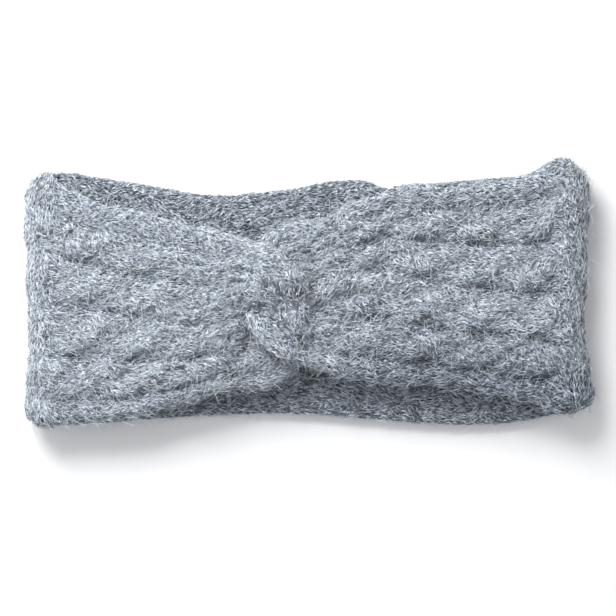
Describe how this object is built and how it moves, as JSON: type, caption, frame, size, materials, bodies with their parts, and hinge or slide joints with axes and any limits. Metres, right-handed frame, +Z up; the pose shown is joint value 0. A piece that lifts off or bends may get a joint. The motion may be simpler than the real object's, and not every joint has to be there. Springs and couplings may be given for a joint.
{
  "type": "ear warmer headband",
  "caption": "Cable-knit ear warmer headband: a wide soft loop lying flat, its front gathered and crossed over in a twist.",
  "frame": {"origin": "under the middle of the loop as it lies flat, on the surface that it rests on", "axes": "+X along the band from its left fold to its right fold, +Y across it to its top edge, +Z up, the way the twisted front faces"},
  "size_m": [0.241, 0.112, 0.0286],
  "materials": {
    "wool_knit": "brushed, fuzzy grey wool, matte"
  },
  "bodies": {
    "root": {"back_panel": "wool_knit", "left_front_panel": "wool_knit", "right_front_panel": "wool_knit"}
  },
  "joints": []
}
